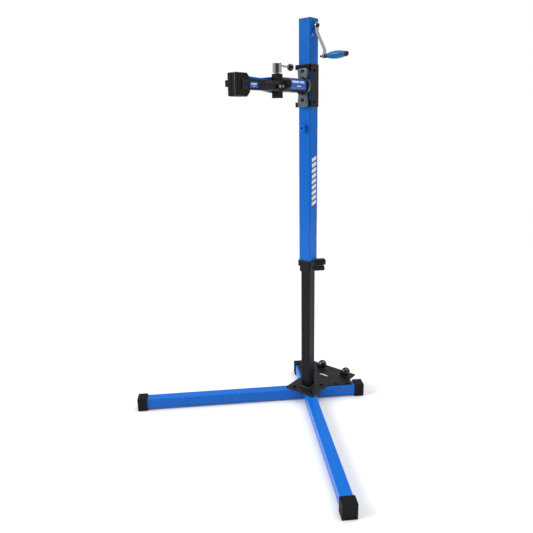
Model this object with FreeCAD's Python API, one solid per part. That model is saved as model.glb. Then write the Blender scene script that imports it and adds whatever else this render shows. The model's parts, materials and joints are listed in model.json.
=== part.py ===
"""Bike repair stand with a crank-lifted mast and a cam clamp.

Millimetres. +Z is up and the floor is z = 0. Each piece is drawn with the mast
on the Z axis, the clamp arm along -Y and the crank along +X, and is then moved
so that the origin is the middle of the footprint on the floor.
"""
import FreeCAD, Part
import math
import os

V = FreeCAD.Vector
X = V(1, 0, 0)
Y = V(0, 1, 0)
Z = V(0, 0, 1)

# Fits
SLIP = 0.3          # gap between pieces that move past each other
RUN = 0.05          # radial running fit of a shaft in its bore

# Where the mast stands behind the middle of the footprint
MAST_BACK = 185.0

# Legs and rear stubs, square tube
FLOOR = -5.0
LEG = 50.0
LEG_WALL = 2.5
LEG_CORNER = 3.5
LEG_REACH = 841.0       # mast axis to the end of a long leg's foot
LEG_START = 27.0
PIVOT_REACH = 71.0      # mast axis to a long leg's pivot bolt
STUB_REACH = 281.0
STUB_START = 50.0
STUB_BOLTS = (71.0, 147.0, 206.0)
SLEEVE_R = 9.5

# Rubber foot caps
SOLE = 9.0
CAP_SIDE = 4.5
CAP_TOP = 6.7
CAP_END = 5.0
CAP_LENGTH = 46.0
CAP_ROUND = 3.0

# Base plate
PLATE = 5.0
LEG_BOTTOM = FLOOR + SOLE
PLATE_BOTTOM = LEG_BOTTOM + LEG
PLATE_TOP = PLATE_BOTTOM + PLATE
PLATE_FRONT = 77.0
PLATE_BACK = 245.0
PLATE_WAIST = 80.0
PLATE_OUTLINE = (
    (PLATE_WAIST, -PLATE_FRONT),
    (PLATE_WAIST, 60.0),
    (169.0, 149.0),
    (133.0, 185.0),
    (132.0, PLATE_BACK),
)
PLATE_HOLE = (78.0, 8.0)            # place on Y, radius
PLATE_SLOT = (97.0, 50.0, 9.5, 19)  # arc centre on Y, arc radius, half width, half angle

# Fasteners: shank radius, width across flats, head height
PIVOT_BOLT = (6.0, 19.0, 7.5)
PIVOT_NUT = 5.5
PIVOT_WASHER = (12.0, 1.5)
STUB_BOLT = (5.0, 17.0, 6.5)
STUB_NUT = 5.0
M8 = (4.0, 13.0, 6.5)

# Lever nuts at the back of the plate
LEVER_PLACE = (72.0, 207.0)
LEVER_HUB = (9.0, 18.0)
LEVER_BALL = 22.5
LEVER_ARM = (29.0, -9.0)
LEVER_BALL_Z = 85.0
LEVER_ROD = 4.0
STUD = (5.0, 12.0)

# Inner mast
INNER = 48.0
INNER_WALL = 3.0
INNER_CORNER = 4.0
INNER_TOP = 1060.0
WELD = 5.0
NUT_DEPTH = 35.0
NUT_FLANGE = 6.0
GLIDE_HEIGHT = 32.0
GLIDE_CHANNEL = 10.0    # half width of the clear lane down each face

# Outer mast
OUTER = 60.0
OUTER_WALL = 3.0
OUTER_CORNER = 4.0
OUTER_BOTTOM = 692.0
HEIGHT = 1746.0
LID = 3.0
LID_SKIRT = 8.0
TOP_HOLE = (-11.0, 1729.0, 3.0)

# Guide collar between the two tubes
COLLAR = 72.0
COLLAR_CORNER = 10.0
COLLAR_TOP = 716.0
COLLAR_SHELF = 3.0
COLLAR_LOW = 60.0
COLLAR_LOW_HEIGHT = 27.0
PAD = 2.0
EAR_SLIT = 3.0
EAR_THICK = 10.5
EAR_OUT = 82.0
EAR_LOW_OUT = 77.0
EAR_GAP = 5.0
EAR_ROUND = 5.0

# Crank head: mitre gears at the top of the mast
CRANK_Z = 1716.0
GEAR_TEETH = 13
GEAR_R = 13.0
GEAR_FACE = 7.0
TOOTH = (2.7, 1.5, 2.0)     # thickness, height above and depth below the pitch cone
TOOTH_SLOPE = math.tan(math.radians(22))
SHAFT_R = 5.0
SCREW_R = 10.0
SCREW_BOTTOM = 825.0
JOURNAL_R = 7.0
THRUST_R = 13.0
CARRIER = (1674.0, 1694.0)
CARRIER_SCREW = (-12.0, 1680.0)
BUSH_R = 6.5
BUSH_OUT = 8.0
BUSH_FLANGE = (9.0, 2.5)

# Crank arm and handle
ARM_THICK = 5.0
EYE_R = 12.5
CRANK_X = 41.5
HANDLE_X = 80.5
CRANK_THROW = 120.0
JOGGLE = (21.0, 96.0)       # below the shaft: where the joggle starts and ends
CRANK_HUB_R = 10.0
PIN_R = 4.0
PIN_IN = 18.0
SPACER = (7.0, 5.0)
FERRULE = (88.3, 97.5)
GRIP_END = 178.0
GRIP_PROFILE = ((0.0, 9.5), (0.1, 12.0), (0.3, 14.7), (0.53, 15.5), (0.78, 13.9), (1.0, 10.5))
GRIP_CAP = 14.0
PIN_HEAD = (6.5, 4.7)

# Accessory boss on the front of the mast
BOSS_Z = 1310.0
BOSS_R = 14.35
BOSS_OUT = 18.0
BOSS_HOLE = 5.0

# Clamp bracket round the mast
SHEET = 3.5
BRACKET = (1397.0, 1568.0)
BRACKET_WINDOW = (1421.0, 1538.0)
BRACKET_BOLTS = (1416.5, 1543.5)
BRACKET_TAB = (11.0, 3.0, 20.0)
SIGHT_HOLE = (1481.5, 5.5)

# Flange casting and clamp shaft
CLAMP_Z = 1482.0
FLANGE = 11.5
FLANGE_Z = (1397.0, 1551.0)
FLANGE_HALF = 26.0
FLANGE_BULGE = 36.0
FLANGE_BOLTS = (1425.0, 1541.0)
CLAMP_SHAFT_R = 10.0
CLAMP_HEAD = (20.0, 5.9)

# Clamp arm
DISC_R = 36.5
DISC_FRONT = 50.0
ROOT_R = 28.5
ROOT_TAPER = 170.0
BLOCK_BACK = 199.0
BLOCK_FRONT = 231.0
BLOCK_HALF = 16.0
BLOCK_Z = (1430.0, 1521.0)
HINGE_Y = 215.0
HINGE_R = 6.0
KNUCKLE_R = 11.0
KNUCKLE_Z = (1454.0, 1492.0)
SPINDLE_HEAD = (9.0, 7.0)
LABEL = 0.5
ROOT_LABEL = (58.0, 158.0, -32.0, 54.0)     # from, to, lower and upper angle

# Jaws
JAW_BACK = 413.0
JAW_FRONT = 477.0
JAW_Z = (1431.5, 1513.0)
JAW_SPLIT = -3.0
NEAR_PAD_X = 12.4
NEAR_SHELL_X = 25.0
FAR_PAD_X = -19.0
FAR_PLATE = 3.0
FAR_BLOCK = (-35.0, 1465.0, 1488.0)
FAR_SCREWS = (1446.0, 1500.0, 4.5, 4.0)     # two heights, head radius, head height
NEAR_ARM_X = (15.0, 30.0)
FAR_ARM_X = -27.0
JAW_TUBE_R = 13.6
SHELL_BEVEL = 15.0
POCKET = (-258.0, -310.0, 1472.0, 11.5, 3.0)   # from, to, height, radius and rim of the near arm's pocket

# Cam lever above the block
CAM_R = 17.8
CAM_Z = (1525.0, 1561.0)
CAM_ROD_R = 4.0
CAM_BALL_R = 14.0
CAM_BALL = (-128.0, 1550.0)


# ---- shared shapes -------------------------------------------------------

def box(x0, x1, y0, y1, z0, z1):
    return Part.makeBox(x1 - x0, y1 - y0, z1 - z0, V(x0, y0, z0))


def rod(radius, start, end):
    """Round bar between two points."""
    along = end - start
    return Part.makeCylinder(radius, along.Length, start, along)


def prism(points, z0, z1):
    """Upright prism over a closed outline of (x, y) points."""
    wire = Part.makePolygon([V(x, y, z0) for x, y in points + points[:1]])
    return Part.Face(wire).extrude(V(0, 0, z1 - z0))


def side_prism(points, x0, x1):
    """Prism along X over a closed outline of (y, z) points."""
    wire = Part.makePolygon([V(x0, y, z) for y, z in points + points[:1]])
    return Part.Face(wire).extrude(V(x1 - x0, 0, 0))


def square(size, corner, z0, z1):
    """Upright square bar centred on the Z axis with rounded corners."""
    half = size / 2
    bar = box(-half, half, -half, half, z0, z1)
    upright = [e for e in bar.Edges if e.BoundBox.ZLength > (z1 - z0) / 2]
    return bar.makeFillet(corner, upright)


def square_tube(size, wall, corner, z0, z1):
    inside = square(size - 2 * wall, corner - wall, z0, z1)
    return square(size, corner, z0, z1).cut(inside)


def hexagon(flats, z0, z1):
    """Upright hexagonal bar centred on the Z axis."""
    radius = flats / math.sqrt(3)
    corners = [math.radians(60 * i) for i in range(6)]
    outline = [(radius * math.cos(a), radius * math.sin(a)) for a in corners]
    bar = prism(outline, z0, z1)
    trim = Part.makeCone(radius, radius * 0.985, z1 - z0, V(0, 0, z0))
    return bar.common(trim)


def turned(profile):
    """Solid of revolution about Z over a closed outline of (radius, z) points."""
    wire = Part.makePolygon([V(r, 0, z) for r, z in profile + profile[:1]])
    return Part.Face(wire).revolve(V(0, 0, 0), Z, 360)


def aimed(shape, place, direction):
    """Moves a shape drawn up +Z from the origin to a place, pointing another way."""
    turn = FreeCAD.Rotation(Z, direction)
    return shape.transformed(FreeCAD.Placement(place, turn).toMatrix(), True)


def around(shape, degrees, place=V(0, 0, 0), axis=Z):
    copy = shape.copy()
    copy.rotate(place, axis, degrees)
    return copy


def fused(first, *others):
    return first.fuse(list(others)).removeSplitter()


def group(shapes):
    return Part.makeCompound(shapes)


def bolt(size, grip, head=None):
    """Hex bolt up Z: the head sits above z = 0 and the shank goes down by the grip."""
    radius, flats, height = size
    top = head or hexagon(flats, 0, height)
    return fused(top, Part.makeCylinder(radius, grip, V(0, 0, -grip)))


def nut(size, z0, height):
    bore = Part.makeCylinder(size[0], height, V(0, 0, z0))
    return hexagon(size[1], z0, z0 + height).cut(bore)


def cap_head(size, height):
    """Socket head with its hexagon socket, above z = 0."""
    head = Part.makeCylinder(size[1] / 2, height)
    rim = [e for e in head.Edges if abs(e.BoundBox.ZMin - height) < 1e-6]
    return head.makeChamfer(0.8, rim).cut(hexagon(size[0] * 1.5, height * 0.5, height + 1))


# ---- base ----------------------------------------------------------------

def diagonal(distance, z=0.0, side=1, fore=1):
    """A point out along one of the four diagonals; fore is 1 for the stubs."""
    part = distance / math.sqrt(2)
    return V(side * part, fore * part, z)


def leg_bar(start, end, z0):
    """Square tube lying along +X with its underside at z0."""
    tube = square_tube(LEG, LEG_WALL, LEG_CORNER, start, end)
    tube.rotate(V(0, 0, 0), Y, 90)
    tube.translate(V(0, 0, z0 + LEG / 2))
    return tube


def long_leg(angle):
    """Long leg with the crush sleeve welded in for its pivot bolt."""
    z0 = LEG_BOTTOM - SLIP
    pivot = V(PIVOT_REACH, 0, z0)
    tube = leg_bar(LEG_START, LEG_REACH - CAP_END, z0)
    sleeve = Part.makeCylinder(SLEEVE_R, LEG - 2 * LEG_WALL, pivot + V(0, 0, LEG_WALL))
    bore = Part.makeCylinder(PIVOT_BOLT[0] + RUN, LEG, pivot)
    return around(tube.fuse(sleeve).cut(bore), angle)


def rear_stub(angle):
    tube = leg_bar(STUB_START, STUB_REACH - CAP_END, LEG_BOTTOM)
    holes = [Part.makeCylinder(STUB_BOLT[0], LEG, V(r, 0, LEG_BOTTOM)) for r in STUB_BOLTS]
    return around(tube.cut(holes), angle)


def foot_cap(reach, underside, angle):
    """Rubber cap: thick sole, open back, framed end face and grip grooves."""
    half = LEG / 2 + CAP_SIDE
    top = underside + LEG + CAP_TOP
    cap = box(reach - CAP_LENGTH, reach, -half, half, FLOOR, top)
    front = [e for e in cap.Edges if e.BoundBox.XMin > reach - 1 or e.BoundBox.XLength > 1]
    cap = cap.makeFillet(CAP_ROUND, front)
    inset = 8.0
    panel = box(reach - 1.5, reach + 1, inset - half, half - inset, FLOOR + inset, top - inset)
    cuts = [panel]
    for i in range(4):
        x = reach - CAP_LENGTH + 8 + 8 * i
        for side in (-1, 1):
            edge = side * half
            cuts.append(box(x, x + 2, edge - 0.8, edge + 0.8, FLOOR + 6, top - 6))
    pocket = square(LEG, LEG_CORNER, reach - CAP_LENGTH - 1, reach - CAP_END)
    pocket.rotate(V(0, 0, 0), Y, 90)
    pocket.translate(V(0, 0, underside + LEG / 2))
    return around(cap.cut(cuts + [pocket]), angle)


def base_plate():
    right = list(PLATE_OUTLINE)
    left = [(-x, y) for x, y in reversed(right)]
    plate = prism(right + left, PLATE_BOTTOM, PLATE_TOP)
    upright = [e for e in plate.Edges if e.BoundBox.ZLength > 1]
    plate = plate.makeFillet(5.0, upright)
    holes = [hole(0, PLATE_HOLE[0], PLATE_HOLE[1]), arc_slot()]
    for side in (-1, 1):
        pivot = diagonal(PIVOT_REACH, 0, side, -1)
        holes.append(hole(pivot.x, pivot.y, PIVOT_BOLT[0]))
        holes.append(hole(side * LEVER_PLACE[0], LEVER_PLACE[1], STUD[0]))
        for reach in STUB_BOLTS:
            place = diagonal(reach, 0, side)
            holes.append(hole(place.x, place.y, STUB_BOLT[0]))
    return plate.cut(holes)


def hole(x, y, radius):
    return Part.makeCylinder(radius, PLATE, V(x, y, PLATE_BOTTOM))


def arc_slot():
    """Curved slot through the plate behind the mast."""
    centre, radius, half, angle = PLATE_SLOT
    place = V(0, centre, PLATE_BOTTOM)
    ring = Part.makeCylinder(radius + half, PLATE, place, Z, 2 * angle)
    ring = ring.cut(Part.makeCylinder(radius - half, PLATE, place))
    ring.rotate(place, Z, 90 - angle)
    ends = []
    for side in (-1, 1):
        turn = math.radians(90 + side * angle)
        ends.append(hole(radius * math.cos(turn), centre + radius * math.sin(turn), half))
    return ring.fuse(ends)


def pivot_bolts():
    """Bolt, plate washer, low washer and half nut at each long leg's pivot."""
    underside = LEG_BOTTOM - 2 * SLIP
    low = underside - PIVOT_WASHER[1]
    grip = PLATE_TOP + PIVOT_WASHER[1] - low + PIVOT_NUT
    pieces = []
    for side in (-1, 1):
        place = diagonal(PIVOT_REACH, 0, side, -1)
        for z in (PLATE_TOP, low):
            washer = Part.makeCylinder(PIVOT_WASHER[0], PIVOT_WASHER[1], V(0, 0, z))
            washer = washer.cut(Part.makeCylinder(PIVOT_BOLT[0], PIVOT_WASHER[1], V(0, 0, z)))
            washer.translate(place)
            pieces.append(washer)
        top = place + V(0, 0, PLATE_TOP + PIVOT_WASHER[1])
        pieces.append(aimed(bolt(PIVOT_BOLT, grip), top, Z))
        pieces.append(aimed(nut(PIVOT_BOLT, low - PIVOT_NUT, PIVOT_NUT), place, Z))
    return group(pieces)


def stub_bolts():
    pieces = []
    for side in (-1, 1):
        for reach in STUB_BOLTS:
            place = diagonal(reach, 0, side)
            grip = PLATE + LEG + STUB_NUT
            pieces.append(aimed(bolt(STUB_BOLT, grip), place + V(0, 0, PLATE_TOP), Z))
            pieces.append(aimed(nut(STUB_BOLT, LEG_BOTTOM - STUB_NUT, STUB_NUT), place, Z))
    return group(pieces)


def lever_studs():
    """Studs for the lever nuts, each held by a hexagon nut welded under the plate."""
    pieces = []
    for side in (-1, 1):
        place = V(side * LEVER_PLACE[0], LEVER_PLACE[1], 0)
        low = PLATE_BOTTOM - 8
        stud = Part.makeCylinder(STUD[0], PLATE_TOP + STUD[1] - low, place + V(0, 0, low))
        pieces += [stud, aimed(nut(STUB_BOLT, low, 8), place, Z)]
    return group(pieces)


def lever_place(side):
    return V(side * LEVER_PLACE[0], LEVER_PLACE[1], PLATE_TOP + SLIP)


def lever_ball_place(side):
    return V(side * LEVER_PLACE[0] + LEVER_ARM[0], LEVER_PLACE[1] + LEVER_ARM[1], LEVER_BALL_Z)


def lever_rod(side):
    start = lever_place(side) + V(0, 0, LEVER_HUB[1] * 0.6)
    return rod(LEVER_ROD, start, lever_ball_place(side))


def lever_hub(side):
    """Hub of a lever nut with its inclined rod, bored blind for the stud."""
    place = lever_place(side)
    hub = Part.makeCylinder(LEVER_HUB[0], LEVER_HUB[1], place)
    rim = [e for e in hub.Edges if e.BoundBox.ZMin > place.z + LEVER_HUB[1] - 1e-3]
    hub = hub.makeChamfer(1.2, rim)
    bore = Part.makeCylinder(STUD[0] + RUN, STUD[1], place)
    return hub.fuse(lever_rod(side)).cut(bore)


def lever_ball(side):
    ball = Part.makeSphere(LEVER_BALL, lever_ball_place(side))
    return ball.cut(lever_rod(side)).cut(Part.makeCylinder(LEVER_HUB[0], 60, lever_place(side)))


# ---- inner mast ----------------------------------------------------------

def inner_mast():
    """Square tube standing on the plate with the weld bead round its foot."""
    tube = square_tube(INNER, INNER_WALL, INNER_CORNER, PLATE_TOP, INNER_TOP)
    steps = 5
    bead = None
    for i in range(steps):
        z = PLATE_TOP + WELD * i / steps
        grow = WELD * (1 - i / steps)
        ring = square(INNER + 2 * grow, INNER_CORNER + grow, z, z + WELD / steps)
        bead = ring if bead is None else bead.fuse(ring)
    core = square(INNER - 2 * INNER_WALL, INNER_CORNER - INNER_WALL, PLATE_TOP, INNER_TOP)
    return fused(tube, bead.cut(core))


def lead_nut():
    """Bronze nut in the top of the inner mast."""
    room = INNER - 2 * INNER_WALL
    plug = square(room, INNER_CORNER - INNER_WALL, INNER_TOP - NUT_DEPTH, INNER_TOP)
    flange = square(INNER, INNER_CORNER, INNER_TOP, INNER_TOP + NUT_FLANGE)
    low = V(0, 0, INNER_TOP - NUT_DEPTH)
    bore = Part.makeCylinder(SCREW_R + RUN, NUT_DEPTH + NUT_FLANGE, low)
    return fused(plug, flange).cut(bore)


def mast_glides():
    """Corner glides that guide the outer tube at the top of the inner mast."""
    room = OUTER - 2 * OUTER_WALL - 2 * SLIP
    z0 = INNER_TOP - NUT_FLANGE - GLIDE_HEIGHT
    z1 = z0 + GLIDE_HEIGHT
    ring = square(room, OUTER_CORNER - OUTER_WALL, z0, z1).cut(square(INNER, INNER_CORNER, z0, z1))
    lane = GLIDE_CHANNEL
    ring = ring.cut([box(-lane, lane, -room, room, z0, z1), box(-room, room, -lane, lane, z0, z1)])
    return group(ring.Solids)


# ---- outer mast and collar -----------------------------------------------

def outer_mast():
    top = HEIGHT - LID
    tube = square_tube(OUTER, OUTER_WALL, OUTER_CORNER, OUTER_BOTTOM, top)
    half = OUTER / 2
    cuts = [rod(BUSH_R, V(-half, 0, CRANK_Z), V(half, 0, CRANK_Z))]
    cuts.append(rod(TOP_HOLE[2], V(0, TOP_HOLE[0], TOP_HOLE[1]), V(half, TOP_HOLE[0], TOP_HOLE[1])))
    cuts.append(rod(BOSS_HOLE, V(0, -half, BOSS_Z), V(0, 0, BOSS_Z)))
    y, z = CARRIER_SCREW
    cuts.append(rod(3.0, V(-half, y, z), V(half, y, z)))
    for z in BRACKET_BOLTS:
        cuts.append(rod(M8[0], V(-half, 0, z), V(half, 0, z)))
    for z in FLANGE_BOLTS:
        cuts.append(rod(M8[0], V(0, -half, z), V(0, 0, z)))
    return tube.cut(cuts)


def top_cap():
    top = HEIGHT - LID
    room = OUTER - 2 * OUTER_WALL
    lid = square(OUTER, OUTER_CORNER, top, HEIGHT)
    lid = lid.makeChamfer(1.0, [e for e in lid.Edges if e.BoundBox.ZMin > HEIGHT - 1e-3])
    return fused(lid, square_tube(room, 2.2, 2.3, top - LID_SKIRT, top))


def in_diagonal(shape):
    """Turns a shape drawn along +X to the rear right corner of the mast."""
    return around(shape, 45)


def ear(out, z0, z1):
    """Clamp ear before its slit, drawn along +X with rounded outer corners."""
    wide = EAR_SLIT / 2 + EAR_THICK
    plate = box(20, out, -wide, wide, z0, z1)
    ends = [e for e in plate.Edges if e.BoundBox.XMin > out - 1 and e.BoundBox.YLength > 1]
    return plate.makeFillet(EAR_ROUND, ends)


def collar_levels():
    """Bottom of the lower part, underside of the upper part, top of the lower ear."""
    step = OUTER_BOTTOM - COLLAR_SHELF
    return step - COLLAR_LOW_HEIGHT, step, step - EAR_GAP


def ear_bolt_places():
    low, step, ear_top = collar_levels()
    upper = V(EAR_OUT - 12, 0, (step + COLLAR_TOP) / 2)
    lower = V(EAR_LOW_OUT - 12, 0, (low + ear_top) / 2)
    return upper, lower


def guide_collar():
    """Split collar: the outer tube sits in its upper part, the pads in its lower."""
    low, step, ear_top = collar_levels()
    body = fused(
        square(COLLAR, COLLAR_CORNER, step, COLLAR_TOP),
        square(COLLAR_LOW, COLLAR_CORNER - 3, low, step),
        in_diagonal(ear(EAR_OUT, step, COLLAR_TOP)),
        in_diagonal(ear(EAR_LOW_OUT, low, ear_top)),
    )
    room = INNER + 2 * (SLIP + PAD)
    cuts = [square(OUTER, OUTER_CORNER, OUTER_BOTTOM, COLLAR_TOP)]
    cuts.append(square(room, INNER_CORNER, low, OUTER_BOTTOM))
    slit = EAR_SLIT / 2
    cuts.append(in_diagonal(box(10, EAR_OUT + 1, -slit, slit, low, COLLAR_TOP)))
    wide = EAR_SLIT / 2 + EAR_THICK
    for place in ear_bolt_places():
        cuts.append(in_diagonal(rod(M8[0], place - Y * wide, place + Y * wide)))
    return body.cut(cuts)


def collar_bolts():
    """Socket bolts through the ears, heads toward the front right."""
    wide = EAR_SLIT / 2 + EAR_THICK
    pieces = []
    for place in ear_bolt_places():
        screw = bolt(M8, 2 * wide + M8[2], cap_head(M8, 8.0))
        pieces.append(in_diagonal(aimed(screw, place - Y * wide, -Y)))
        pieces.append(in_diagonal(aimed(nut(M8, 0, M8[2]), place + Y * wide, Y)))
    return group(pieces)


def collar_glides():
    low, step, _ = collar_levels()
    near = INNER / 2 + SLIP
    pad = box(near, near + PAD, -12, 12, low + 1, step - 1)
    return group([around(pad, 90 * i) for i in range(4)])


# ---- crank head ----------------------------------------------------------

def mitre_gear(bore, hub_r, hub_end):
    """Mitre gear on the Z axis with its pitch apex at the origin.

    The big end is at z = -GEAR_R. The hub runs on down to z = -hub_end.
    """
    slope = math.sqrt(0.5)
    thick, above, below = TOOTH
    small = 1 - GEAR_FACE / (GEAR_R / slope)
    root = (GEAR_R - below * slope, -GEAR_R - below * slope)
    blank = turned([
        (bore, root[1] * small),
        (root[0] * small, root[1] * small),
        root,
        (root[0] - 1.5, root[1] - 1.5),
        (hub_r, root[1] - 1.5),
        (hub_r, -hub_end),
        (bore, -hub_end),
    ])
    sections = []
    for scale in (1.0, small):
        corners = []
        for side, height in ((-1, -below - 0.3), (1, -below - 0.3), (1, above), (-1, above)):
            half = thick / 2 - height * TOOTH_SLOPE
            out = V(GEAR_R + height * slope, side * half, -GEAR_R + height * slope)
            corners.append(out * scale)
        sections.append(Part.makePolygon(corners + corners[:1]))
    tooth = Part.makeLoft(sections, True, True)
    teeth = [around(tooth, 360 * i / GEAR_TEETH) for i in range(GEAR_TEETH)]
    core = Part.makeCylinder(bore, 2 * GEAR_R, V(0, 0, -2 * GEAR_R))
    return blank.fuse(teeth).cut(core)


def screw_gear():
    gear = mitre_gear(SHAFT_R, 9.0, CRANK_Z - CARRIER[1] - SLIP)
    gear.translate(V(0, 0, CRANK_Z))
    return gear


def crank_gear():
    gear = mitre_gear(SHAFT_R, 9.0, GEAR_R + 7)
    gear.rotate(V(0, 0, 0), Y, -90)
    gear.translate(V(0, 0, CRANK_Z))
    return gear


def lead_screw():
    """Lifting screw with thrust collar, journal and gear seat, thread at full size."""
    low, high = CARRIER
    seat_top = CRANK_Z - SHAFT_R - 4
    return turned([
        (0, SCREW_BOTTOM),
        (SCREW_R - 2, SCREW_BOTTOM),
        (SCREW_R, SCREW_BOTTOM + 2),
        (SCREW_R, low - 6),
        (THRUST_R, low - 6),
        (THRUST_R, low - SLIP),
        (JOURNAL_R, low - SLIP),
        (JOURNAL_R, high + SLIP),
        (SHAFT_R, high + SLIP),
        (SHAFT_R, seat_top),
        (0, seat_top),
    ])


def gear_carrier():
    """Block across the top of the outer tube that carries the lifting screw."""
    low, high = CARRIER
    block = square(OUTER - 2 * OUTER_WALL, OUTER_CORNER - OUTER_WALL, low, high)
    y, z = CARRIER_SCREW
    half = OUTER / 2 - OUTER_WALL
    cuts = [Part.makeCylinder(JOURNAL_R + RUN, high - low, V(0, 0, low))]
    cuts.append(rod(3.0, V(half - 10, y, z), V(half, y, z)))
    cuts.append(rod(3.0, V(-half, y, z), V(10 - half, y, z)))
    return block.cut(cuts)


def carrier_screws():
    y, z = CARRIER_SCREW
    size = (3.0, 11.0, 3.0)
    screws = []
    for side in (-1, 1):
        screw = bolt(size, OUTER_WALL + 10, cap_head(size, 3.0))
        screws.append(aimed(screw, V(side * OUTER / 2, y, z), X * side))
    return group(screws)


def shaft_bushes():
    """Flanged bushes for the crank shaft, one in each side wall of the mast."""
    flange_r, flange = BUSH_FLANGE
    half = OUTER / 2
    inside = half - OUTER_WALL - flange
    bushes = []
    for side, out in ((1, half + BUSH_OUT), (-1, half + 1)):
        bush = rod(BUSH_R, X * (side * inside), X * (side * out))
        bush = bush.fuse(rod(flange_r, X * (side * inside), X * (side * (inside + flange))))
        bush = bush.cut(rod(SHAFT_R + RUN, X * (side * inside), X * (side * out)))
        bush.translate(V(0, 0, CRANK_Z))
        bushes.append(bush)
    return group(bushes)


def crank_shaft():
    """Shaft right across the mast, out to the crank's eye."""
    start = V(-OUTER / 2, 0, CRANK_Z)
    return rod(SHAFT_R, start, V(CRANK_X + ARM_THICK / 2, 0, CRANK_Z))


def crank_bolt():
    head = hexagon(13.0, 1.5, 6.5).fuse(Part.makeCylinder(8.0, 1.5))
    return aimed(head, V(CRANK_X + ARM_THICK / 2, 0, CRANK_Z), X)


def strip_outline(points, thickness):
    """Closed outline of a flat strip bent along a line of (x, z) points."""
    sides = ([], [])
    for i, point in enumerate(points):
        before = points[max(i - 1, 0)]
        after = points[min(i + 1, len(points) - 1)]
        normals = []
        for a, b in ((before, point), (point, after)):
            dx, dz = b[0] - a[0], b[1] - a[1]
            length = math.hypot(dx, dz)
            if length:
                normals.append((-dz / length, dx / length))
        nx = sum(n[0] for n in normals) / len(normals)
        nz = sum(n[1] for n in normals) / len(normals)
        reach = thickness / 2 / (nx * nx + nz * nz)
        sides[0].append((point[0] + nx * reach, point[1] + nz * reach))
        sides[1].append((point[0] - nx * reach, point[1] - nz * reach))
    return sides[0] + sides[1][::-1]


def crank_arm():
    """Flat joggled crank: an eye on the shaft, a hub for the handle."""
    foot = CRANK_Z - CRANK_THROW
    line = [
        (CRANK_X, CRANK_Z + EYE_R),
        (CRANK_X, CRANK_Z - JOGGLE[0]),
        (HANDLE_X, CRANK_Z - JOGGLE[1]),
        (HANDLE_X, foot - CRANK_HUB_R),
    ]
    outline = [V(x, -EYE_R, z) for x, z in strip_outline(line, ARM_THICK)]
    strip = Part.Face(Part.makePolygon(outline + outline[:1])).extrude(Y * (2 * EYE_R))
    ends = (V(0, 0, CRANK_Z), V(0, 0, foot))
    shadow = side_prism([
        (-EYE_R, CRANK_Z), (-CRANK_HUB_R + 1.5, CRANK_Z - 34), (-CRANK_HUB_R, foot),
        (CRANK_HUB_R, foot), (CRANK_HUB_R - 1.5, CRANK_Z - 34), (EYE_R, CRANK_Z),
    ], 0, 120)
    shadow = shadow.fuse([
        rod(EYE_R, ends[0], ends[0] + X * 120),
        rod(CRANK_HUB_R, ends[1], ends[1] + X * 120),
    ])
    holes = [rod(SHAFT_R, ends[0], ends[0] + X * 120), rod(PIN_R, ends[1], ends[1] + X * 120)]
    return strip.common(shadow).cut(holes)


def handle_bolt():
    """Long bolt the grip turns on, with its nut inside the arm and a spacer outside."""
    z = CRANK_Z - CRANK_THROW
    inner = HANDLE_X - ARM_THICK / 2
    outer = HANDLE_X + ARM_THICK / 2
    pin = rod(PIN_R, V(inner - PIN_IN, 0, z), V(GRIP_END + SLIP, 0, z))
    head = rod(PIN_HEAD[0], V(GRIP_END + SLIP, 0, z), V(GRIP_END + SLIP + PIN_HEAD[1], 0, z))
    spacer = rod(SPACER[0], V(outer, 0, z), V(outer + SPACER[1], 0, z))
    spacer = spacer.cut(rod(PIN_R, V(outer, 0, z), V(outer + SPACER[1], 0, z)))
    lock = aimed(nut((PIN_R, 13.0), 0, 6.5), V(inner, 0, z), -X)
    return group([fused(pin, head), spacer, lock])


def grip_ferrule():
    z = CRANK_Z - CRANK_THROW
    start, end = FERRULE
    long = end - start
    ring = turned([
        (PIN_R + RUN, 0), (8.2, 0), (9.0, 1.0), (9.0, long - 2.5),
        (GRIP_PROFILE[0][1], long), (PIN_R + RUN, long),
    ])
    return aimed(ring, V(start, 0, z), X)


def grip():
    """Crowned hand grip, free to turn on its bolt."""
    z = CRANK_Z - CRANK_THROW
    start = FERRULE[1]
    long = GRIP_END - start
    crown = Part.BSplineCurve()
    crown.interpolate([V(r, 0, t * long) for t, r in GRIP_PROFILE])
    inner = PIN_R + RUN
    first = V(GRIP_PROFILE[0][1], 0, 0)
    last = V(GRIP_PROFILE[-1][1], 0, long)
    rest = Part.makePolygon([last, V(inner, 0, long), V(inner, 0, 0), first])
    outline = Part.Wire([crown.toShape()] + rest.Edges)
    return aimed(Part.Face(outline).revolve(V(0, 0, 0), Z, 360), V(start, 0, z), X)


def grip_end_cap():
    """Domed end cap over the bolt's head."""
    z = CRANK_Z - CRANK_THROW
    radius = GRIP_PROFILE[-1][1]
    room = PIN_HEAD[0] + SLIP
    depth = PIN_HEAD[1] + 2 * SLIP
    cap = turned([
        (room, 0), (radius, 0), (radius, GRIP_CAP * 0.45), (radius - 1.0, GRIP_CAP * 0.7),
        (radius - 3.2, GRIP_CAP * 0.92), (radius - 6.0, GRIP_CAP), (0, GRIP_CAP), (0, depth),
        (room, depth),
    ])
    return aimed(cap, V(GRIP_END, 0, z), X)


# ---- boss and bracket ----------------------------------------------------

def accessory_boss():
    """Welded boss on the front of the mast, bored through into the tube."""
    half = OUTER / 2
    boss = turned([
        (BOSS_HOLE, 0), (BOSS_R + 2.5, 0), (BOSS_R, 2.5), (BOSS_R, BOSS_OUT - 1.2),
        (BOSS_R - 1.2, BOSS_OUT), (BOSS_HOLE, BOSS_OUT),
    ])
    return aimed(boss, V(0, -half, BOSS_Z), -Y)


def bracket_outer():
    return OUTER / 2 + SHEET


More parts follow.
